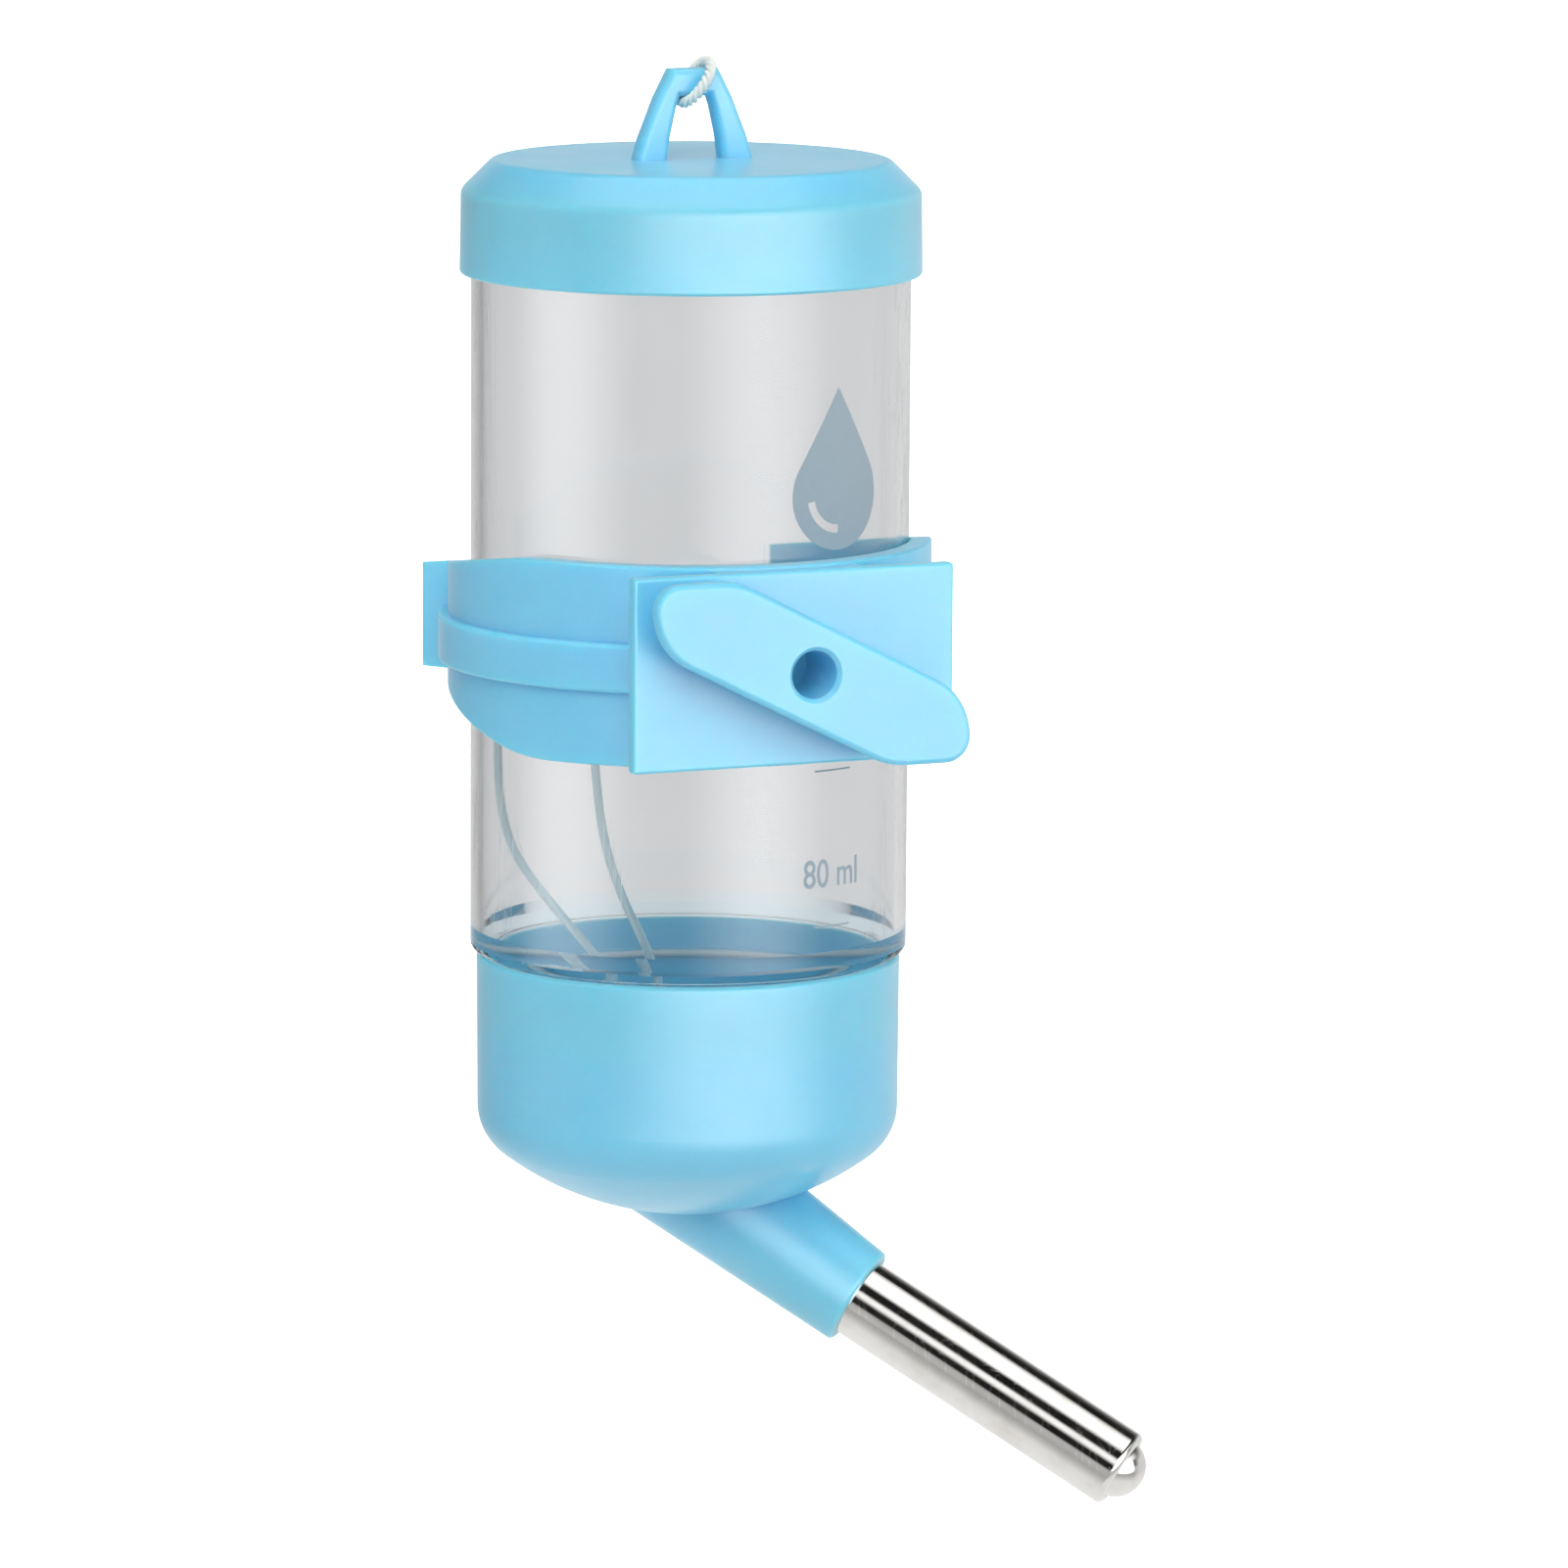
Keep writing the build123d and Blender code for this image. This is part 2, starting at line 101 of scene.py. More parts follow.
# ---- node helpers -----------------------------------------------------------------------
class Recipe:
    """A material's node tree, with short calls to add and join nodes."""

    def __init__(self, name):
        self.material = bpy.data.materials.new(name)
        self.material.use_nodes = True
        self.tree = self.material.node_tree
        self.shader = self.tree.nodes["Principled BSDF"]

    def set(self, **values):
        """Plain values on the shader's own sockets; underscores stand for spaces."""
        for name, value in values.items():
            self.shader.inputs[name.replace("_", " ")].default_value = value

    def node(self, kind, settings=None, **inputs):
        """A node with its properties and inputs; an input is a value or a socket."""
        made = self.tree.nodes.new("ShaderNode" + kind)
        for name, value in (settings or {}).items():
            setattr(made, name, value)
        for name, value in inputs.items():
            self.join(value, made.inputs[name.replace("_", " ")])
        return made

    def join(self, value, socket):
        """Link a socket, or set a value."""
        if isinstance(value, bpy.types.NodeSocket):
            self.tree.links.new(value, socket)
        else:
            socket.default_value = value

    def place(self, stretch=(1, 1, 1)):
        """Object coordinates in millimetres, stretched."""
        coords = self.node("TexCoord").outputs["Object"]
        scale = [1000.0 * s for s in stretch]
        return self.node("Mapping", Vector=coords, Scale=scale).outputs[0]

    def noise(self, vector, scale, detail=3.0, roughness=0.55):
        """Noise from 0 to 1 at a scale per millimetre."""
        made = self.node("TexNoise", Vector=vector, Scale=scale, Detail=detail, Roughness=roughness)
        return made.outputs["Fac"]

    def spread(self, value, low, high, to_low=0.0, to_high=1.0):
        """A value stretched from one range to another, and clamped."""
        made = self.node("MapRange", Value=value)
        for socket, number in zip(list(made.inputs)[1:5], (low, high, to_low, to_high)):
            socket.default_value = number
        return made.outputs[0]

    def math(self, operation, a, b=0.0):
        """Arithmetic on two values."""
        made = self.node("Math", {"operation": operation})
        self.join(a, made.inputs[0])
        self.join(b, made.inputs[1])
        return made.outputs[0]

    def mix(self, share, a, b):
        """Two colours mixed."""
        made = self.node("Mix", {"data_type": "RGBA"})
        self.join(share, made.inputs["Factor"])
        self.join(a, made.inputs[6])
        self.join(b, made.inputs[7])
        return made.outputs[2]

    def bump(self, height, depth, normal=None):
        """A bump of that depth in millimetres."""
        made = self.node("Bump", Height=height, Distance=depth * MM)
        if normal is not None:
            self.join(normal, made.inputs["Normal"])
        return made.outputs[0]

    def scratches(self, scale, thin, angle):
        """Fine short scratches: thin bands of a stretched noise."""
        coords = self.node("TexCoord").outputs["Object"]
        stretch = (1000.0, 1000.0, 60.0)
        turned = self.node("Mapping", Vector=coords, Rotation=angle, Scale=stretch).outputs[0]
        wander = self.noise(turned, scale, 2.0)
        band = self.math("ABSOLUTE", self.math("SUBTRACT", wander, 0.5))
        return self.spread(band, 0.0, thin, 1.0, 0.0)

    def edge(self, radius):
        """How near a point is to a sharp edge, from 0 to 1."""
        soft = self.node("Bevel", {"samples": 4}, Radius=radius * MM).outputs[0]
        true = self.node("NewGeometry").outputs["Normal"]
        dot = self.node("VectorMath", {"operation": "DOT_PRODUCT"})
        self.join(soft, dot.inputs[0])
        self.join(true, dot.inputs[1])
        return self.spread(dot.outputs["Value"], 0.70, 0.995, 1.0, 0.0)


def srgb(red, green, blue):
    """A colour given in 0-255 sRGB, as linear RGBA."""
    linear = []
    for value in (red, green, blue):
        share = value / 255
        linear.append(share / 12.92 if share <= 0.04045 else ((share + 0.055) / 1.055) ** 2.4)
    return (*linear, 1.0)


# ---- materials ----------------------------------------------------------------------------
def blue_plastic(name):
    """Glossy sky-blue moulding, slightly milky, with faint flow marks, scuffs and pale worn edges."""
    r = Recipe(name)
    deep = srgb(119, 202, 234)
    pale = srgb(126, 206, 237)
    worn = srgb(184, 229, 246)
    place = r.place()
    clouds = r.noise(place, 0.06, 3.0)
    colour = r.mix(r.spread(clouds, 0.35, 0.65), deep, pale)
    rubbed = r.spread(r.noise(place, 0.05, 2.0), 0.50, 0.70)
    scuffs = r.math("MULTIPLY", rubbed, r.scratches(0.30, 0.002, (0.5, 1.1, 0.3)))
    colour = r.mix(r.math("MULTIPLY", scuffs, 0.10), colour, worn)
    colour = r.mix(r.math("MULTIPLY", r.edge(0.35), 0.18), colour, worn)
    r.join(colour, r.shader.inputs["Base Color"])
    grease = r.noise(place, 0.14, 4.0)
    rough = r.spread(grease, 0.3, 0.7, 0.29, 0.38)
    rough = r.math("ADD", rough, r.math("MULTIPLY", scuffs, 0.06))
    r.join(rough, r.shader.inputs["Roughness"])
    ripple = r.bump(r.noise(place, 0.12, 2.0), 0.040)
    r.join(r.bump(r.noise(place, 5.0, 2.0), 0.0015, ripple), r.shader.inputs["Normal"])
    r.set(IOR=1.50, Specular_IOR_Level=0.55, Coat_Weight=0.35, Coat_Roughness=0.3, Coat_IOR=1.5)
    r.set(Subsurface_Weight=0.75, Subsurface_Scale=0.003, Subsurface_Radius=(0.05, 0.9, 1.0))
    return r.material


def clear_plastic(name, colour, haze, ior=1.34):
    """Clear moulded plastic with a faint haze, flow ripples and fine scratches."""
    r = Recipe(name)
    place = r.place()
    streaks = r.noise(r.place((1, 1, 0.08)), 0.10, 2.0)
    denser = [0.97 * c for c in colour[:3]] + [1]
    r.join(r.mix(r.spread(streaks, 0.3, 0.7), colour, denser), r.shader.inputs["Base Color"])
    scuffs = r.scratches(0.30, 0.004, (0.9, 0.2, 0.4))
    rough = r.spread(r.noise(place, 0.25, 4.0), 0.3, 0.7, 0.03, 0.07)
    r.join(r.math("ADD", rough, r.math("MULTIPLY", scuffs, 0.12)), r.shader.inputs["Roughness"])
    ripple = r.bump(streaks, 0.030)
    r.join(r.bump(scuffs, -0.003, ripple), r.shader.inputs["Normal"])
    r.set(IOR=ior, Transmission_Weight=1.0 - haze)
    return r.material


def polished_steel(name, rough_low, rough_high, along=(1, 1, 1)):
    """Polished steel with fine draw lines, faint stains and hairline scratches."""
    r = Recipe(name)
    place = r.place()
    lines = r.noise(r.place(along), 1.6, 3.0)
    stains = r.noise(place, 0.25, 4.0)
    colour = r.mix(r.spread(stains, 0.45, 0.75), srgb(232, 230, 227), srgb(222, 219, 214))
    r.join(colour, r.shader.inputs["Base Color"])
    scuffs = r.scratches(0.5, 0.006, (0.4, 0.9, 1.3))
    rough = r.spread(stains, 0.3, 0.7, rough_low, rough_high)
    r.join(r.math("ADD", rough, r.math("MULTIPLY", scuffs, 0.12)), r.shader.inputs["Roughness"])
    r.join(r.bump(scuffs, -0.002, r.bump(lines, 0.0012)), r.shader.inputs["Normal"])
    r.set(Metallic=1.0)
    return r.material


def silicone(name):
    """Milky silicone rubber with a satin skin."""
    r = Recipe(name)
    place = r.place()
    colour = r.mix(r.noise(place, 0.4, 3.0), srgb(208, 216, 218), srgb(226, 231, 232))
    r.join(colour, r.shader.inputs["Base Color"])
    r.join(r.spread(r.noise(place, 1.2, 3.0), 0.3, 0.7, 0.42, 0.58), r.shader.inputs["Roughness"])
    r.join(r.bump(r.noise(place, 4.0, 2.0), 0.004), r.shader.inputs["Normal"])
    r.set(IOR=1.41, Subsurface_Weight=0.4, Subsurface_Scale=0.0015, Subsurface_Radius=(1.0, 1.0, 1.0))
    return r.material


def cotton_cord(name):
    """White twisted thread with fine fibres, and painted greenish-grey shade in the grooves of its bump."""
    r = Recipe(name)
    place = r.place()
    fibres = r.noise(place, 9.0, 3.0)
    # painted shade: the greenish grey falls where the fibre noise, which also sets the bump, is low, so the
    # grooves come out darker
    colour = r.mix(fibres, srgb(214, 222, 216), srgb(244, 245, 241))
    r.join(colour, r.shader.inputs["Base Color"])
    r.join(r.spread(fibres, 0.3, 0.7, 0.75, 0.95), r.shader.inputs["Roughness"])
    r.join(r.bump(fibres, 0.04), r.shader.inputs["Normal"])
    r.set(Sheen_Weight=0.3, Sheen_Roughness=0.5)
    return r.material


def print_ink(name, colour):
    """Thin grey ink, a little uneven and worn."""
    r = Recipe(name)
    place = r.place()
    patches = r.noise(place, 0.9, 4.0)
    thinner = [min(1.0, 1.12 * c) for c in colour[:3]] + [1]
    r.join(r.mix(patches, colour, thinner), r.shader.inputs["Base Color"])
    r.join(r.spread(patches, 0.3, 0.7, 0.35, 0.55), r.shader.inputs["Roughness"])
    r.join(r.bump(r.noise(place, 6.0, 2.0), 0.003), r.shader.inputs["Normal"])
    return r.material


BLUE = blue_plastic("blue_plastic")
CLEAR = clear_plastic("clear_plastic", srgb(243, 244, 245), 0.01)
STEEL = polished_steel("nozzle_steel", 0.07, 0.12, (1, 1, 0.2))
BALL_STEEL = polished_steel("ball_steel", 0.04, 0.09)
SILICONE = silicone("silicone")
CORD_WHITE = cotton_cord("white_cord")
NECK = clear_plastic("seated_neck", srgb(226, 241, 246), 0.02, 1.03)
CORD_CLEAR = clear_plastic("clear_cord", srgb(206, 228, 232), 0.35)
INK = print_ink("print_ink", srgb(148, 165, 175))

NODE_MATERIALS = {
    "clip": BLUE, "turn_bar": BLUE, "lid": BLUE, "base_cup": BLUE, "bottle_tube": CLEAR,
    "nozzle_tube": STEEL, "tip_ball": BALL_STEEL, "inner_ball": BALL_STEEL,
    "neck_seal": SILICONE, "lid_gasket": SILICONE,
}
for node_name, material in NODE_MATERIALS.items():
    node_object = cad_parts[node_name]
    node_object.data.materials.clear()
    node_object.data.materials.append(material)

NECK_TOP_Z = 3.2 * MM        # the tube's faces up to here, above the shoulder, sit in the wet joint


def mark_neck(tube):
    """Give the tube's shoulder and neck their own look: in the joint they bend little light."""
    tube.data.materials.append(NECK)
    for polygon in tube.data.polygons:
        level = (tube.matrix_world @ polygon.center).z - SHOULDER_Z
        if level < NECK_TOP_Z:
            polygon.material_index = 1


mark_neck(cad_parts["bottle_tube"])
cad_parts["bottle_tube"].visible_shadow = False   # light passes the clear tube


# ---- cord inside the bottle -----------------------------------------------------------------
CORD_D = 1.1 * MM
# The route of part.py's inner cord, in millimetres about the bottle's axis and the tube's shoulder.
INNER_CORD = [
    (3.6, 0.6, -16.5),
    (-0.9, -0.7, -11.2),
    (-3.7, -1.1, -5.4),
    (-6.7, -1.4, 1.9),
    (-9.5, -1.2, 7.2),
    (-11.9, -1.3, 14.2),
    (-12.7, -0.6, 22.0),
    (-12.8, 0.3, 29.4),
    (-13.5, 1.7, 35.1),
    (-15.5, 4.6, 38.9),
    (-18.3, 8.3, 39.2),
    (-20.2, 10.8, 35.6),
    (-20.9, 11.7, 30.4),
    (-21.0, 11.8, 24.0),
    (-20.8, 11.3, 17.4),
    (-19.2, 10.7, 11.4),
    (-15.2, 8.9, 5.6),
    (-11.2, 6.6, 0.3),
    (-7.6, 3.9, -4.6),
    (-3.7, 2.7, -10.0),
    (-0.2, 4.5, -15.5),
]


def on_bottle(point):
    """A point in millimetres about the bottle's axis and shoulder, in the row frame in metres."""
    return Vector(point) * MM + AXIS + Vector((0, 0, SHOULDER_Z))


def make_inner_cord():
    """The clear cord that lies folded inside the tube."""
    data = bpy.data.curves.new("clear_cord", "CURVE")
    data.dimensions = "3D"
    data.bevel_depth = CORD_D / 2
    data.bevel_resolution = 6
    data.resolution_u = 10
    data.use_fill_caps = True
    spline = data.splines.new("NURBS")
    spline.points.add(len(INNER_CORD) - 1)
    for place, point in zip(spline.points, INNER_CORD):
        place.co = (*on_bottle(point), 1.0)
    spline.order_u = 3
    spline.use_endpoint_u = True
    cord = bpy.data.objects.new("inner_clear_cord", data)
    bpy.context.scene.collection.objects.link(cord)
    data.materials.append(CORD_CLEAR)
    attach(cord, "bottle")
    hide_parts("inner_cord")
    cord.visible_shadow = False


make_inner_cord()


# ---- mesh helpers ---------------------------------------------------------------------------
def finish_mesh(name, bm, material, body):
    """Turn a bmesh into a smooth piece that rides on a body, with the material it is given."""
    bmesh.ops.recalc_face_normals(bm, faces=bm.faces)
    mesh = bpy.data.meshes.new(name)
    bm.to_mesh(mesh)
    bm.free()
    for polygon in mesh.polygons:
        polygon.use_smooth = True
    mesh.materials.append(material)
    made = bpy.data.objects.new(name, mesh)
    bpy.context.scene.collection.objects.link(made)
    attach(made, body)
    return made


# ---- cord round the hanging eye ---------------------------------------------------------------
LOOP_CENTRE = (0.45, 0.0, 107.4)
LOOP_R = 2.95
LOOP_LEAN = math.radians(32.6)
STRANDS = 3
STRAND_R = 0.36
STRAND_OFFSET = 0.36
TWISTS = 7
LOOP_STEPS = 168
STRAND_SIDES = 12


def make_hang_cord():
    """Three strands twisted into a closed loop round the eye's top bar."""
    turn = Matrix.Rotation(LOOP_LEAN, 4, "Y") @ Matrix.Rotation(math.pi / 2, 4, "Y")
    upward = Vector((0, 0, 1))
    bm = bmesh.new()
    for strand in range(STRANDS):
        rings = []
        for step in range(LOOP_STEPS):
            along = 2 * math.pi * step / LOOP_STEPS
            outward = Vector((math.cos(along), math.sin(along), 0))
            lay = TWISTS * along + 2 * math.pi * strand / STRANDS
            centre = outward * LOOP_R
            centre += STRAND_OFFSET * (math.cos(lay) * outward + math.sin(lay) * upward)
            ring = []
            for side in range(STRAND_SIDES):
                around = 2 * math.pi * side / STRAND_SIDES
                point = centre + STRAND_R * (math.cos(around) * outward + math.sin(around) * upward)
                ring.append(bm.verts.new(on_bottle(turn @ point + Vector(LOOP_CENTRE))))
            rings.append(ring)
        for here, there in zip(rings, rings[1:] + rings[:1]):
            for side in range(STRAND_SIDES):
                after = (side + 1) % STRAND_SIDES
                bm.faces.new((here[side], here[after], there[after], there[side]))
    loop = finish_mesh("hanging_cord", bm, CORD_WHITE, "lid")
    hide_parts("hang_cord")


make_hang_cord()


# ---- prints and moulding marks on the tube --------------------------------------------------------
PRINT_GAP = 0.02      # between the tube and the ink, in millimetres
PRINT_T = 0.03
PRINT_AZIMUTH = 42.0  # middle of the drop, in degrees to the right of the camera's side
SCALE_AZIMUTH = 41.0
BEND_STEP = 0.5       # width of the flat strips that a print is cut into before it is bent
DROP_TIP_Z = 72.3     # heights of the drop's tip and of the middle of its round end
DROP_ROUND_Z = 59.2
DROP_R = 6.7
DROP_STEPS = 40
GLINT_R = 4.6         # outside of the crescent, and its inside as a share of that
GLINT_SHARE = 0.78
GLINT_START = 189.0   # degrees
GLINT_SPAN = 81.0
GLINT_STEPS = 12
NUMBER_Z = 11.3
NUMBER_SIZE = 4.9
NUMBER_SQUEEZE = 0.80
NUMBER_WEIGHT = 0.03  # how much bolder than the plain font
LINE_MARKS_Z = (6.4, 25.6)
MARK_HALF_W = 2.8
MARK_HALF_T = 0.1


def flat_shape(name, loops):
    """A flat filled mesh from closed outlines of (across, height) in millimetres, with inner ones as holes."""
    data = bpy.data.curves.new(name, "CURVE")
    data.dimensions = "2D"
    data.fill_mode = "FRONT"
    for loop in loops:
        spline = data.splines.new("POLY")
        spline.points.add(len(loop) - 1)
        for place, (across, height) in zip(spline.points, loop):
            place.co = (across, height, 0, 1)
        spline.use_cyclic_u = True
    return flat_mesh(data)


def flat_text(text, size, squeeze):
    """A flat filled mesh of plain scale text, centred, with its letters squeezed across."""
    data = bpy.data.curves.new("scale_text", "FONT")
    data.body = text
    data.size = size
    data.offset = NUMBER_WEIGHT
    data.fill_mode = "FRONT"
    data.align_x = "CENTER"
    bm = flat_mesh(data)
    for vertex in bm.verts:
        vertex.co.x *= squeeze
    return bm


def flat_mesh(data):
    """The faces that a curve or a text makes, as a bmesh."""
    drawn = bpy.data.objects.new(data.name, data)
    bpy.context.scene.collection.objects.link(drawn)
    bpy.context.view_layer.update()
    mesh = drawn.evaluated_get(bpy.context.evaluated_depsgraph_get()).to_mesh()
    bm = bmesh.new()
    bm.from_mesh(mesh)
    bpy.data.objects.remove(drawn)
    bmesh.ops.remove_doubles(bm, verts=bm.verts, dist=0.001)
    return bm


def wrap_print(name, bm, azimuth, height):
    """Bend a flat shape round the tube, at a height above the shoulder, as a thin closed layer of ink."""
    bmesh.ops.triangulate(bm, faces=bm.faces)
    reach = max(abs(vertex.co.x) for vertex in bm.verts)
    for cut in range(-int(reach / BEND_STEP), int(reach / BEND_STEP) + 1):
        everything = bm.verts[:] + bm.edges[:] + bm.faces[:]
        bmesh.ops.bisect_plane(bm, geom=everything, plane_co=(cut * BEND_STEP, 0, 0), plane_no=(1, 0, 0))
    raised = bmesh.ops.extrude_face_region(bm, geom=bm.faces[:])["geom"]
    for vertex in raised:
        if isinstance(vertex, bmesh.types.BMVert):
            vertex.co.z = PRINT_T
    radius = TUBE_R / MM + PRINT_GAP
    for vertex in bm.verts:
        plan = math.radians(VIEW_AZIMUTH + azimuth) + vertex.co.x / radius
        level = height + vertex.co.y
        out = radius + vertex.co.z
        vertex.co = on_bottle((math.cos(plan) * out, math.sin(plan) * out, level))
    made = finish_mesh(name, bm, INK, "bottle")
    for polygon in made.data.polygons:
        polygon.use_smooth = False
    return made


def drop_outline():
    """A water drop: a round bottom with two straight flanks up to a tip."""
    rise = DROP_TIP_Z - DROP_ROUND_Z
    start = math.acos(DROP_R / rise)
    points = [(0.0, rise)]
    for step in range(DROP_STEPS + 1):
        angle = math.pi / 2 - start - (2 * math.pi - 2 * start) * step / DROP_STEPS
        points.append((DROP_R * math.cos(angle), DROP_R * math.sin(angle)))
    return points


def glint_outline():
    """A crescent inside the drop, left clear of ink."""
    outer = []
    for step in range(GLINT_STEPS + 1):
        angle = math.radians(GLINT_START + GLINT_SPAN * step / GLINT_STEPS)
        outer.append((GLINT_R * math.cos(angle), GLINT_R * math.sin(angle)))
    inner = [(GLINT_SHARE * across, GLINT_SHARE * height) for across, height in reversed(outer)]
    return outer + inner


def make_prints():
    """The printed drop, the scale's number and its faint marks."""
    drop = flat_shape("drop", [drop_outline(), glint_outline()])
    wrap_print("printed_drop", drop, PRINT_AZIMUTH, DROP_ROUND_Z)
    number = flat_text("80 ml", NUMBER_SIZE, NUMBER_SQUEEZE)
    wrap_print("printed_number", number, SCALE_AZIMUTH, NUMBER_Z)
    corners = ((-1, -1), (1, -1), (1, 1), (-1, 1))
    dash = [(MARK_HALF_W * across, MARK_HALF_T * up) for across, up in corners]
    for height in LINE_MARKS_Z:
        wrap_print(f"printed_mark_{height:.0f}", flat_shape("mark", [dash]), SCALE_AZIMUTH, height)


make_prints()


# ---- studio -----------------------------------------------------------------------------------
FLOOR_DROP = 0.30            # metres under the bottle
FLOOR_R = 4.0                # the flat floor, which then curves up into a wall
FLOOR_CENTRE_R = 0.5
COVE_R = 1.5
WALL_HEIGHT = 4.0
COVE_STEPS = 12
ROUND_STEPS = 96


def make_floor():
    """A plain pale floor under the hanging bottle, with a far rounded wall that hides the horizon."""
    low = cad_low.z - FLOOR_DROP
    rings = [(FLOOR_CENTRE_R, 0.0)]
    for step in range(COVE_STEPS + 1):
        turn = math.radians(90.0) * step / COVE_STEPS
        rings.append((FLOOR_R + COVE_R * math.sin(turn), COVE_R * (1.0 - math.cos(turn))))
    rings.append((FLOOR_R + COVE_R, WALL_HEIGHT))
    angles = [2.0 * math.pi * step / ROUND_STEPS for step in range(ROUND_STEPS)]
    rounds = [(math.cos(angle), math.sin(angle)) for angle in angles]
    bm = bmesh.new()
    rows = []
    for radius, height in rings:
        rows.append([bm.verts.new((radius * x, radius * y, low + height)) for x, y in rounds])
    bm.faces.new(rows[0])
    for inner, outer in zip(rows, rows[1:]):
        for step in range(ROUND_STEPS):
            after = (step + 1) % ROUND_STEPS
            bm.faces.new((inner[step], outer[step], outer[after], inner[after])).smooth = True
    mesh = bpy.data.meshes.new("floor")
    bm.to_mesh(mesh)
    bm.free()
    floor = bpy.data.objects.new("floor", mesh)
    bpy.context.scene.collection.objects.link(floor)
    r = Recipe("floor")
    r.set(Base_Color=(0.9, 0.9, 0.9, 1), Roughness=0.8)
    r.set(Emission_Color=(1, 1, 1, 1), Emission_Strength=1.0)
    mesh.materials.append(r.material)
    floor.visible_diffuse = False
    floor.visible_transmission = False
    floor.visible_glossy = False
    floor.visible_shadow = False


# Brightness of the studio at heights on the sky, from -1 straight down to 1 straight up: in front
# of the bottle there are two dark flags over a pale table, and behind it a dark corner above a pale wall.
SKY_FRONT = [
    (-1.0, 0.90), (-0.70, 0.88), (-0.50, 0.58), (-0.34, 0.44), (-0.10, 0.55), (0.00, 0.45), (0.04, 0.01),
    (0.27, 0.01), (0.40, 1.20), (0.52, 1.20), (0.60, 0.01), (0.79, 0.01), (0.86, 1.50), (1.0, 1.50),
]
SKY_BACK = [
    (-1.0, 0.95), (-0.46, 0.95), (-0.24, 0.80), (0.02, 0.80), (0.16, 0.80), (0.30, 0.45), (0.42, 0.22),
    (0.60, 0.02), (0.80, 0.01), (0.88, 1.20), (1.0, 1.50),
]
SKY_BLEND = 0.35                     # cosine to either side of the bottle where the two skies meet
FLAG_AZIMUTH = -125.0                # a dark flag to the left, behind the bottle
FLAG_FADE = (0.72, 0.96, 1.0, 0.45)  # cosines off its middle, and the brightness at each


def add_sky(tree, height, stops):
    """A ramp of greys over the height of a direction."""
    low, high = stops[0][0], stops[-1][0]
    ramp = tree.nodes.new("ShaderNodeValToRGB")
    tree.links.new(height, ramp.inputs[0])
    marks = ramp.color_ramp.elements
    marks[0].position, marks[1].position = 0.0, 1.0
    for level, _ in stops[1:-1]:
        marks.new((level - low) / (high - low))
    for mark, (_, grey) in zip(marks, stops):
        mark.color = (grey, grey, grey, 1)
    return ramp.outputs[0]


def facing_share(tree, coords, azimuth, fade):
    """A value that follows how far a direction faces an azimuth: from two cosines to two values."""
    plan = math.radians(VIEW_AZIMUTH + azimuth)
    facing = tree.nodes.new("ShaderNodeVectorMath")
    facing.operation = "DOT_PRODUCT"
    facing.inputs[1].default_value = (math.cos(plan), math.sin(plan), 0)
    tree.links.new(coords, facing.inputs[0])
    share = tree.nodes.new("ShaderNodeMapRange")
    share.interpolation_type = "SMOOTHSTEP"
    for socket, value in zip(list(share.inputs)[1:5], fade):
        socket.default_value = value
    tree.links.new(facing.outputs["Value"], share.inputs["Value"])
    return share.outputs[0]


def make_world():
    """A grey studio, with one sky in front of the bottle and one behind it."""
    world = bpy.data.worlds.new("studio")
    bpy.context.scene.world = world
    world.use_nodes = True
    tree = world.node_tree
    coords = tree.nodes.new("ShaderNodeTexCoord").outputs["Generated"]
    split = tree.nodes.new("ShaderNodeSeparateXYZ")
    tree.links.new(coords, split.inputs[0])
    lifted = tree.nodes.new("ShaderNodeMath")
    lifted.operation = "MULTIPLY_ADD"
    lifted.inputs[1].default_value = 0.5
    lifted.inputs[2].default_value = 0.5
    tree.links.new(split.outputs["Z"], lifted.inputs[0])
    blend = tree.nodes.new("ShaderNodeMix")
    blend.data_type = "RGBA"
    in_front = facing_share(tree, coords, 0.0, (-SKY_BLEND, SKY_BLEND, 0.0, 1.0))
    tree.links.new(in_front, blend.inputs["Factor"])
    tree.links.new(add_sky(tree, lifted.outputs[0], SKY_BACK), blend.inputs[6])
    tree.links.new(add_sky(tree, lifted.outputs[0], SKY_FRONT), blend.inputs[7])
    background = tree.nodes["Background"]
    tree.links.new(blend.outputs[2], background.inputs[0])
    tree.links.new(facing_share(tree, coords, FLAG_AZIMUTH, FLAG_FADE), background.inputs["Strength"])


def soften(data, share_u, share_v):
    """Let a softbox fade towards its sides, over that share of its half width and half height."""
    data.use_nodes = True
    tree = data.node_tree
    split = tree.nodes.new("ShaderNodeSeparateXYZ")
    tree.links.new(tree.nodes.new("ShaderNodeNewGeometry").outputs["Parametric"], split.inputs[0])
    product = tree.nodes.new("ShaderNodeMath")
    product.operation = "MULTIPLY"
    for place, (axis, share) in enumerate((("X", share_u), ("Y", share_v))):
        off = tree.nodes.new("ShaderNodeMath")
        off.operation = "PINGPONG"
        off.inputs[1].default_value = 0.5
        tree.links.new(split.outputs[axis], off.inputs[0])
        fade = tree.nodes.new("ShaderNodeMapRange")
        fade.interpolation_type = "SMOOTHSTEP"
        fade.inputs["From Max"].default_value = 0.5 * share
        tree.links.new(off.outputs[0], fade.inputs["Value"])
        tree.links.new(fade.outputs[0], product.inputs[place])
    tree.links.new(product.outputs[0], tree.nodes["Emission"].inputs["Strength"])


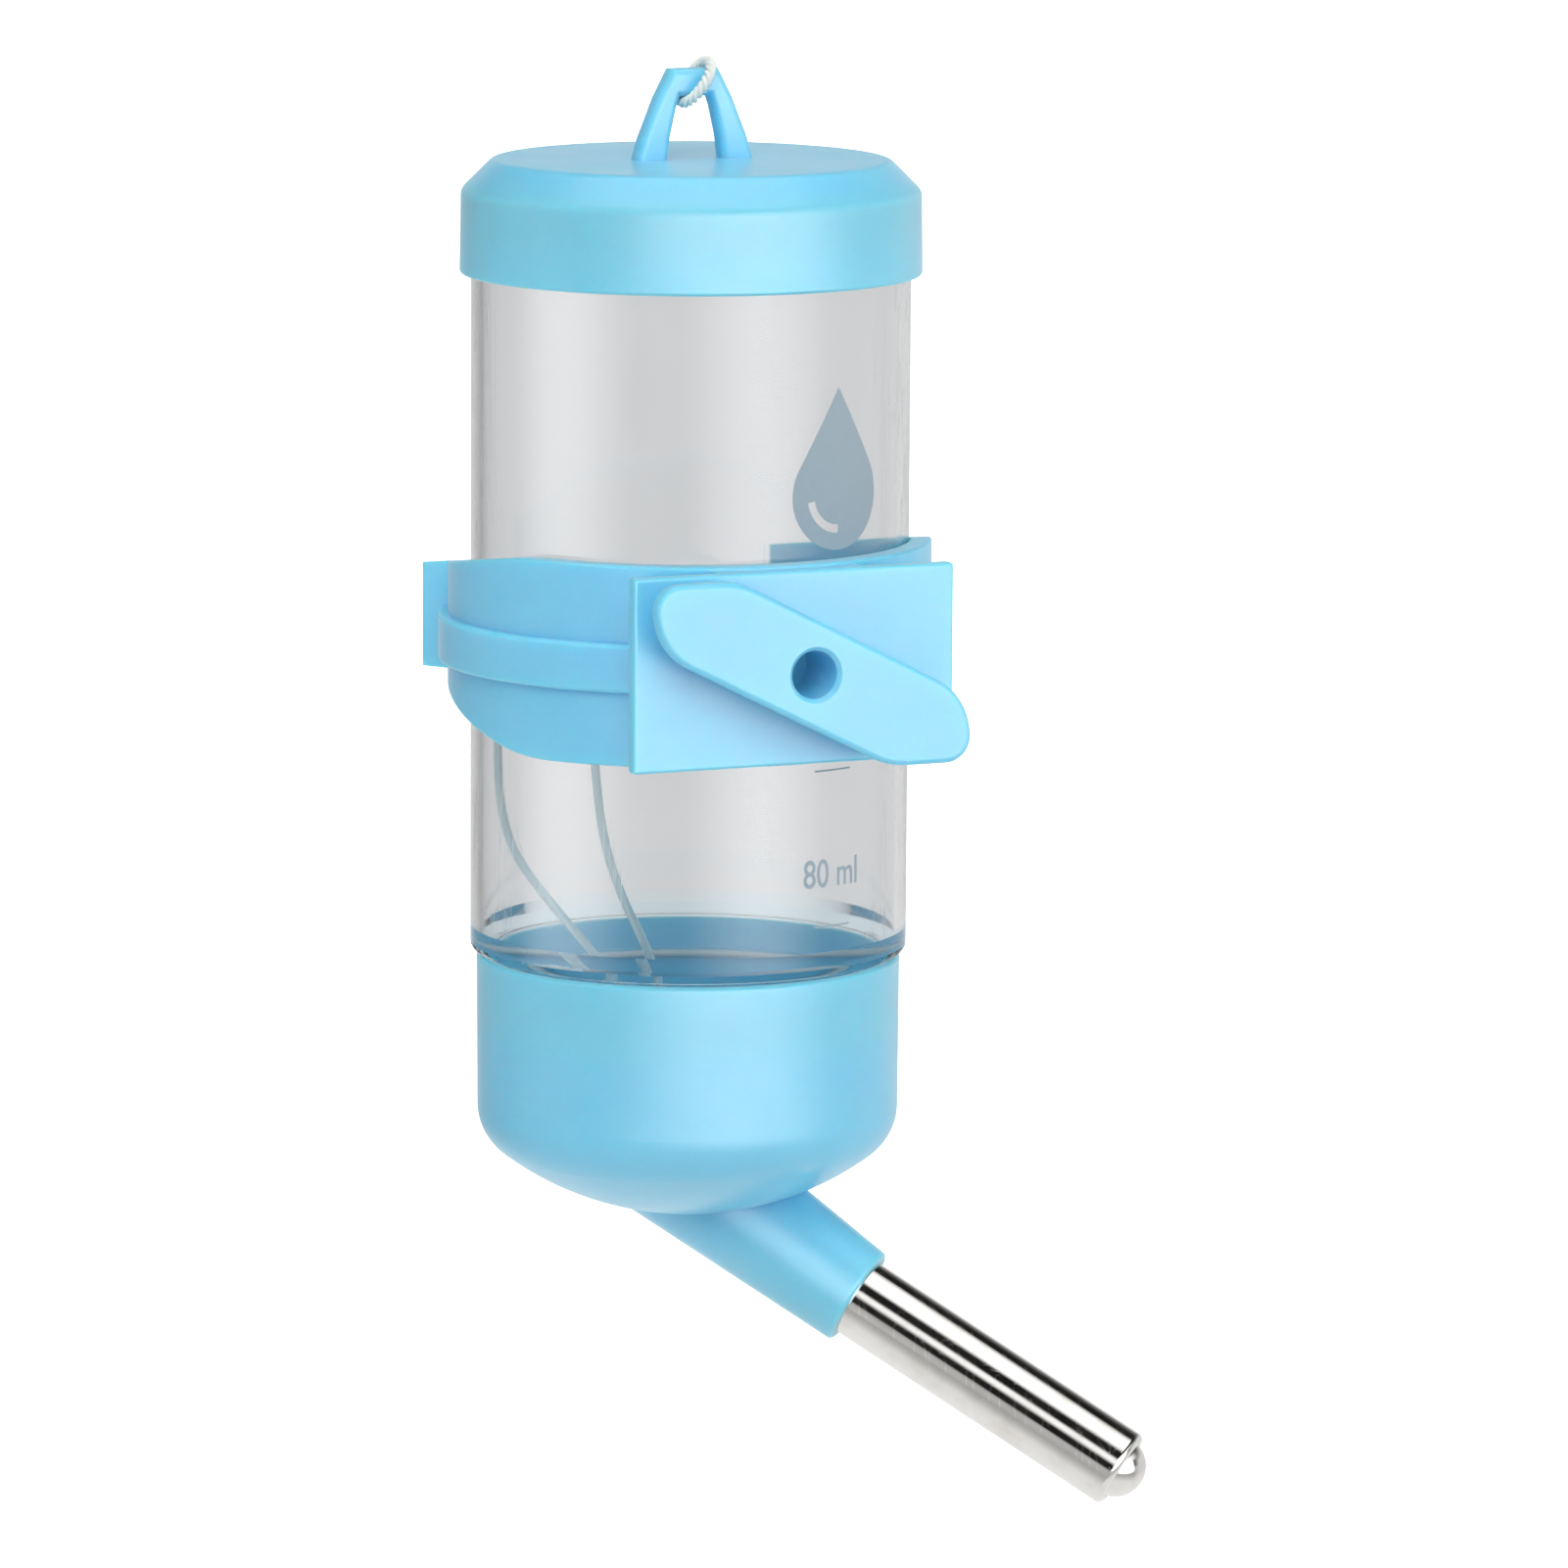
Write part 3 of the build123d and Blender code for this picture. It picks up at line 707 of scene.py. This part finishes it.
def make_light(name, azimuth, distance, height, size, radiance):
    """A softbox that faces the bottle, at degrees to the right of the camera's side."""
    plan = math.radians(VIEW_AZIMUTH + azimuth)
    place = AXIS + Vector((math.cos(plan) * distance, math.sin(plan) * distance, height))
    data = bpy.data.lights.new(name, "AREA")
    data.shape = "RECTANGLE"
    data.size, data.size_y = size
    data.energy = radiance * math.pi * size[0] * size[1]
    light = bpy.data.objects.new(name, data)
    bpy.context.scene.collection.objects.link(light)
    light.location = place
    light.rotation_euler = (place - AXIS).to_track_quat("Z", "Y").to_euler()
    return light


BLUE_NODES = ("clip", "turn_bar", "lid", "base_cup")
CLEAR_NODES = ("bottle_tube", "nozzle_tube", "tip_ball")
SHEEN_HEIGHT = 1.1
SHEEN_FADE = (1.0, 0.6)
# Soft lights that show only as sheen: azimuth, distance, width, radiance and the nodes they fall on.
SHEEN_LIGHTS = {
    "sheen_left": (-66, 1.2, 1.9, 6.5, CLEAR_NODES),
    "sheen_right": (38, 1.2, 2.2, 6.5, CLEAR_NODES),
    "sheen_front": (25, 1.0, 4.0, 4.7, BLUE_NODES),
}
# Soft lights that shade but do not shine: azimuth, distance, height, width and radiance.
SHADING_LIGHTS = {
    "key": (0, 1.2, 0.95, 0.9, 5.1),
    "fill_right": (78, 1.2, 0.20, 1.0, 1.3),
    "fill_left": (-80, 1.2, -0.20, 1.0, 0.7),
    "fill_low": (10, 0.7, -1.20, 1.0, 0.2),
}


def make_sheen_light(name, azimuth, distance, width, radiance, nodes):
    """A soft light that only shines, and only on some nodes."""
    light = make_light(name, azimuth, distance, 0.0, (width, SHEEN_HEIGHT), radiance)
    soften(light.data, *SHEEN_FADE)
    light.visible_diffuse = False
    light.visible_transmission = False
    receivers = bpy.data.collections.new(name)
    for node_name in nodes:
        receivers.objects.link(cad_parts[node_name])
    light.light_linking.receiver_collection = receivers


def make_shading_light(name, azimuth, distance, height, width, radiance):
    """A soft light that shades everything and shows in no reflection."""
    light = make_light(name, azimuth, distance, height, (width, width), radiance)
    light.visible_glossy = False
    light.visible_transmission = False


make_floor()
make_world()
for light_name, settings in SHEEN_LIGHTS.items():
    make_sheen_light(light_name, *settings)
for light_name, settings in SHADING_LIGHTS.items():
    make_shading_light(light_name, *settings)

scene = bpy.context.scene
scene.view_settings.view_transform = "Standard"
scene.view_settings.look = "None"
